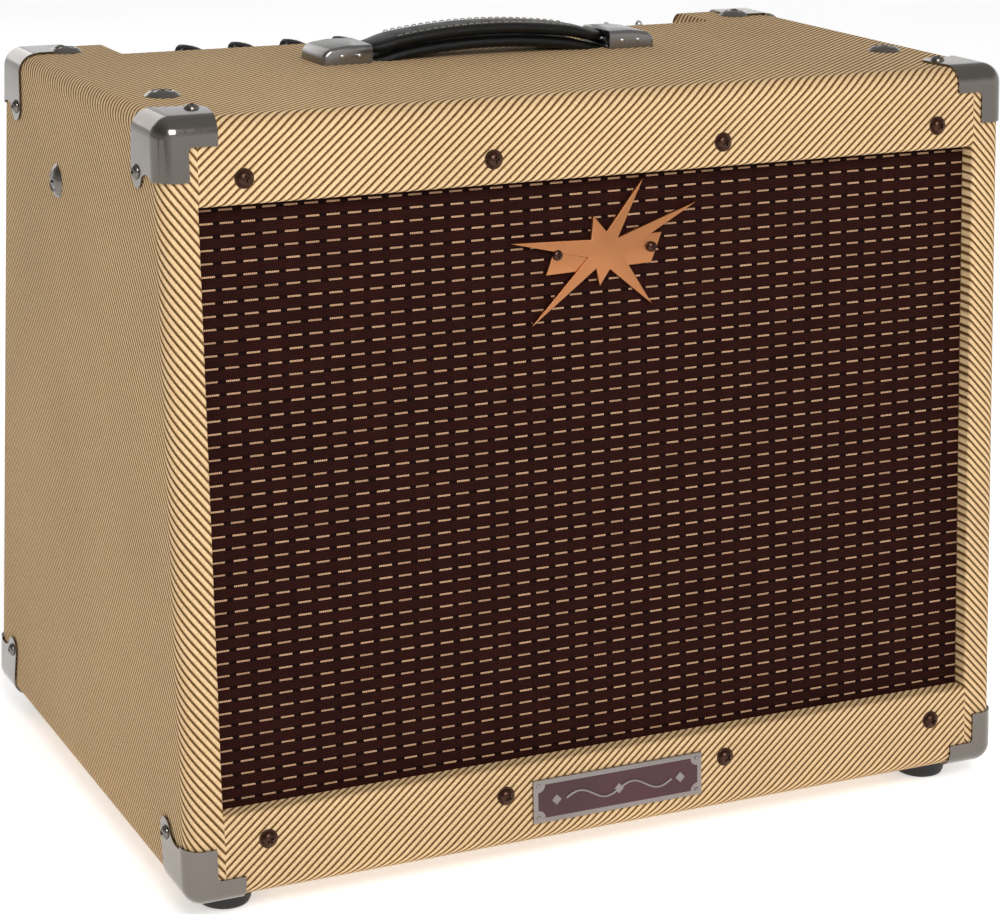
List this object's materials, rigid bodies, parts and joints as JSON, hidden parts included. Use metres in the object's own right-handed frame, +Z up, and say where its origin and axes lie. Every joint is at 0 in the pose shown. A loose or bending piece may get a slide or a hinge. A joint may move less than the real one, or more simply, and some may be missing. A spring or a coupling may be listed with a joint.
{
  "type": "guitar amplifier",
  "caption": "Tweed-covered valve guitar combo amplifier with a leaning cabinet, woven grille, top-facing control panel, open back, metal corners and strap handle.",
  "frame": {"origin": "on the floor under the middle of the base's outline", "axes": "+Z up, the grille faces -Y, +X to the right of someone facing the grille"},
  "size_m": [0.523, 0.3825, 0.4575],
  "materials": {
    "tweed": "plywood covered in woven tweed",
    "grille_cloth": "woven speaker cloth",
    "plywood": "raw plywood",
    "nickel": "nickel plated",
    "rubber": "matt",
    "chrome": "polished",
    "spring_steel": "satin",
    "leather": "stitched strap",
    "plate": "satin with a dark field",
    "copper": "satin copper",
    "bakelite": "moulded",
    "jewel": "faceted",
    "glass": "clear",
    "iron": "black paint",
    "guard_steel": "plated sheet",
    "paper": "pressed paper",
    "lead": "insulated wire"
  },
  "bodies": {
    "cabinet": {"side_left": "tweed", "side_right": "tweed", "top_panel": "tweed", "bottom_panel": "tweed", "front_rail_top": "tweed", "front_rail_bottom": "tweed", "back_panel_upper": "tweed", "back_panel_lower": "tweed", "grille_cloth": "grille_cloth", "baffle_board": "plywood", "tube_guard": "guard_steel", "corner_bottom_front_left": "nickel", "corner_bottom_front_right": "nickel", "corner_bottom_rear_left": "nickel", "corner_bottom_rear_right": "nickel", "corner_top_front_left": "nickel", "corner_top_front_right": "nickel", "corner_top_rear_left": "nickel", "corner_top_rear_right": "nickel", "foot_front_left": "rubber", "foot_front_right": "rubber", "foot_rear_left": "rubber", "foot_rear_right": "rubber", "handle_cap_left": "chrome", "handle_cap_right": "chrome", "name_plate": "plate", "front_badge": "copper", "chassis": "chrome", "control_panel": "chrome", "mains_inlet": "bakelite", "pilot_lamp": "jewel", "power_tube_1": "glass", "power_tube_2": "glass", "power_tube_3": "glass", "power_tube_4": "glass", "preamp_tube_1": "glass", "preamp_tube_2": "glass", "preamp_tube_3": "glass", "power_transformer": "iron", "output_transformer": "iron", "reverb_tank": "guard_steel", "speaker_basket": "iron", "speaker_magnet": "iron", "speaker_lead": "lead"},
    "knob_1": {"knob_1": "bakelite"},
    "knob_2": {"knob_2": "bakelite"},
    "knob_3": {"knob_3": "bakelite"},
    "knob_4": {"knob_4": "bakelite"},
    "knob_5": {"knob_5": "bakelite"},
    "knob_6": {"knob_6": "bakelite"},
    "knob_7": {"knob_7": "bakelite"},
    "knob_8": {"knob_8": "bakelite"},
    "channel_button": {"channel_button": "bakelite"},
    "boost_button": {"boost_button": "bakelite"},
    "standby_switch": {"standby_switch": "chrome"},
    "power_switch": {"power_switch": "chrome"},
    "speaker_cone": {"speaker_cone": "paper"},
    "handle_strap": {"handle_strap": "leather"},
    "handle_band_left": {"handle_band_left": "spring_steel"},
    "handle_band_right": {"handle_band_right": "spring_steel"}
  },
  "joints": [
    {"name": "knob_1_turn", "type": "hinge", "parent": "cabinet", "child": "knob_1", "pos_m": [-0.151, 0.102, 0.418], "axis": [0, 0, 1], "range_deg": [-265, 35]},
    {"name": "knob_2_turn", "type": "hinge", "parent": "cabinet", "child": "knob_2", "pos_m": [-0.117, 0.102, 0.418], "axis": [0, 0, 1], "range_deg": [-265, 35]},
    {"name": "knob_3_turn", "type": "hinge", "parent": "cabinet", "child": "knob_3", "pos_m": [-0.083, 0.102, 0.418], "axis": [0, 0, 1], "range_deg": [-265, 35]},
    {"name": "knob_4_turn", "type": "hinge", "parent": "cabinet", "child": "knob_4", "pos_m": [-0.049, 0.102, 0.418], "axis": [0, 0, 1], "range_deg": [-265, 35]},
    {"name": "knob_5_turn", "type": "hinge", "parent": "cabinet", "child": "knob_5", "pos_m": [-0.015, 0.102, 0.418], "axis": [0, 0, 1], "range_deg": [-265, 35]},
    {"name": "knob_6_turn", "type": "hinge", "parent": "cabinet", "child": "knob_6", "pos_m": [0.019, 0.102, 0.418], "axis": [0, 0, 1], "range_deg": [-265, 35]},
    {"name": "knob_7_turn", "type": "hinge", "parent": "cabinet", "child": "knob_7", "pos_m": [0.053, 0.102, 0.418], "axis": [0, 0, 1], "range_deg": [-265, 35]},
    {"name": "knob_8_turn", "type": "hinge", "parent": "cabinet", "child": "knob_8", "pos_m": [0.087, 0.102, 0.418], "axis": [0, 0, 1], "range_deg": [-265, 35]},
    {"name": "standby_switch_throw", "type": "hinge", "parent": "cabinet", "child": "standby_switch", "pos_m": [0.137, 0.102, 0.423], "axis": [1, 0, 0], "range_deg": [0, 24]},
    {"name": "power_switch_throw", "type": "hinge", "parent": "cabinet", "child": "power_switch", "pos_m": [0.161, 0.102, 0.423], "axis": [1, 0, 0], "range_deg": [0, 24]},
    {"name": "channel_button_press", "type": "slide", "parent": "cabinet", "child": "channel_button", "axis": [0, 0, -1], "range_m": [0, 0.003], "stiffness_N_per_m": 250, "springref_m": -0.001},
    {"name": "boost_button_press", "type": "slide", "parent": "cabinet", "child": "boost_button", "axis": [0, 0, -1], "range_m": [0, 0.003], "stiffness_N_per_m": 250, "springref_m": -0.001},
    {"name": "speaker_cone_travel", "type": "slide", "parent": "cabinet", "child": "speaker_cone", "axis": [0, 0.9974, -0.0717], "range_m": [-0.003, 0.003], "stiffness_N_per_m": 3000},
    {"name": "handle_lift", "type": "slide", "parent": "cabinet", "child": "handle_strap", "axis": [0, 0, 1], "range_m": [0, 0.012]},
    {"name": "handle_band_left_slide", "type": "slide", "parent": "handle_strap", "child": "handle_band_left", "axis": [0.2425, 0, -0.9701], "range_m": [0, 0.0125]},
    {"name": "handle_band_right_slide", "type": "slide", "parent": "handle_strap", "child": "handle_band_right", "axis": [-0.2425, 0, -0.9701], "range_m": [0, 0.0125]}
  ],
  "couplings": [
    {"joint": "handle_band_left_slide", "follows": "handle_lift", "ratio": 1.0308},
    {"joint": "handle_band_right_slide", "follows": "handle_lift", "ratio": 1.0308}
  ]
}
